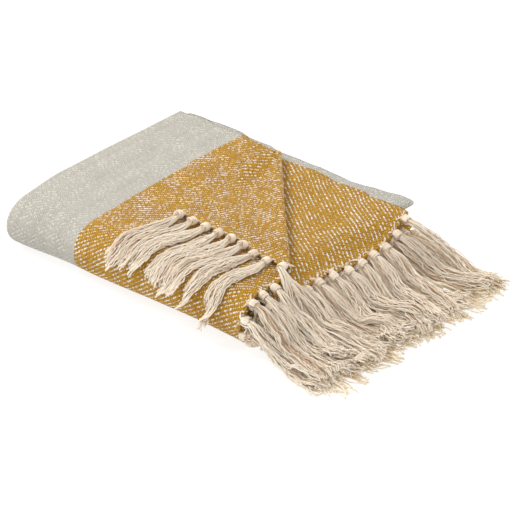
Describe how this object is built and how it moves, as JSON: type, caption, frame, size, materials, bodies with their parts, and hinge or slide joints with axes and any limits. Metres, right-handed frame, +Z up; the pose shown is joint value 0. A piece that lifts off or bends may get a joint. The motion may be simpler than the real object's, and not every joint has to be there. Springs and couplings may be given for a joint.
{
  "type": "folded throw blanket",
  "caption": "Woven twill throw folded into a flat stack, with knotted tassel fringe and one corner turned back.",
  "frame": {"origin": "centre of the footprint, on the surface the throw lies on", "axes": "+X towards the fringed side, along the longest side; +Y towards the back, where the selvages lie; +Z up"},
  "size_m": [0.526, 0.3183, 0.0755],
  "materials": {
    "mustard_cloth": "matte twill, mustard weft over cream warp",
    "grey_cloth": "matte twill, light grey weft over cream warp",
    "fringe_yarn": "matte spun cream yarn"
  },
  "bodies": {
    "folded_stack": {"back_fold_tassels": "fringe_yarn", "back_folds": "mustard_cloth", "core_layer": "mustard_cloth", "fifth_layer": "grey_cloth", "fourth_layer": "grey_cloth", "fringe_row_1": "fringe_yarn", "fringe_row_2": "fringe_yarn", "fringe_row_3": "fringe_yarn", "fringe_row_4": "fringe_yarn", "fringe_row_5": "fringe_yarn", "fringe_row_6": "fringe_yarn", "front_fold_tassel_1": "fringe_yarn", "front_fold_tassel_2": "fringe_yarn", "front_fold_tassel_3": "fringe_yarn", "front_fold_tassel_4": "fringe_yarn", "front_fold_tassel_5": "fringe_yarn", "front_fold_tassel_6": "fringe_yarn", "front_fold_tassel_7": "fringe_yarn", "inner_left_end_fold": "grey_cloth", "outer_layer": "mustard_cloth", "outer_left_end_fold": "grey_cloth", "right_end_fold": "grey_cloth", "second_layer": "mustard_cloth", "second_row_tassel_1": "fringe_yarn", "second_row_tassel_10": "fringe_yarn", "second_row_tassel_11": "fringe_yarn", "second_row_tassel_12": "fringe_yarn", "second_row_tassel_2": "fringe_yarn", "second_row_tassel_3": "fringe_yarn", "second_row_tassel_4": "fringe_yarn", "second_row_tassel_5": "fringe_yarn", "second_row_tassel_6": "fringe_yarn", "second_row_tassel_7": "fringe_yarn", "second_row_tassel_8": "fringe_yarn", "second_row_tassel_9": "fringe_yarn", "seventh_layer": "mustard_cloth", "sixth_layer": "grey_cloth", "third_layer": "grey_cloth", "top_row_tassel_1": "fringe_yarn", "top_row_tassel_2": "fringe_yarn"},
    "turned_corner": {"corner_flap": "mustard_cloth", "corner_tassel_1": "fringe_yarn", "corner_tassel_2": "fringe_yarn", "corner_tassel_3": "fringe_yarn", "corner_tassel_4": "fringe_yarn", "corner_tassel_5": "fringe_yarn", "corner_tassel_6": "fringe_yarn", "corner_tassel_7": "fringe_yarn", "corner_tassel_8": "fringe_yarn"},
    "corner_tassel_ends": {"corner_tassel_end_1": "fringe_yarn", "corner_tassel_end_2": "fringe_yarn", "corner_tassel_end_3": "fringe_yarn", "corner_tassel_end_4": "fringe_yarn", "corner_tassel_end_5": "fringe_yarn", "corner_tassel_end_6": "fringe_yarn", "corner_tassel_end_7": "fringe_yarn", "corner_tassel_end_8": "fringe_yarn"}
  },
  "joints": [
    {"name": "corner_turn", "type": "hinge", "parent": "folded_stack", "child": "turned_corner", "pos_m": [0.0205, 0.0385, 0.06735], "axis": [-0.7071, 0.7071, 0], "range_deg": [0, 160]},
    {"name": "tassel_droop", "type": "hinge", "parent": "turned_corner", "child": "corner_tassel_ends", "pos_m": [0, -0.1185, 0.06945], "axis": [-1, 0, 0], "range_deg": [0, 96]}
  ],
  "couplings": [
    {"joint": "tassel_droop", "follows": "corner_turn", "ratio": 0.6}
  ]
}
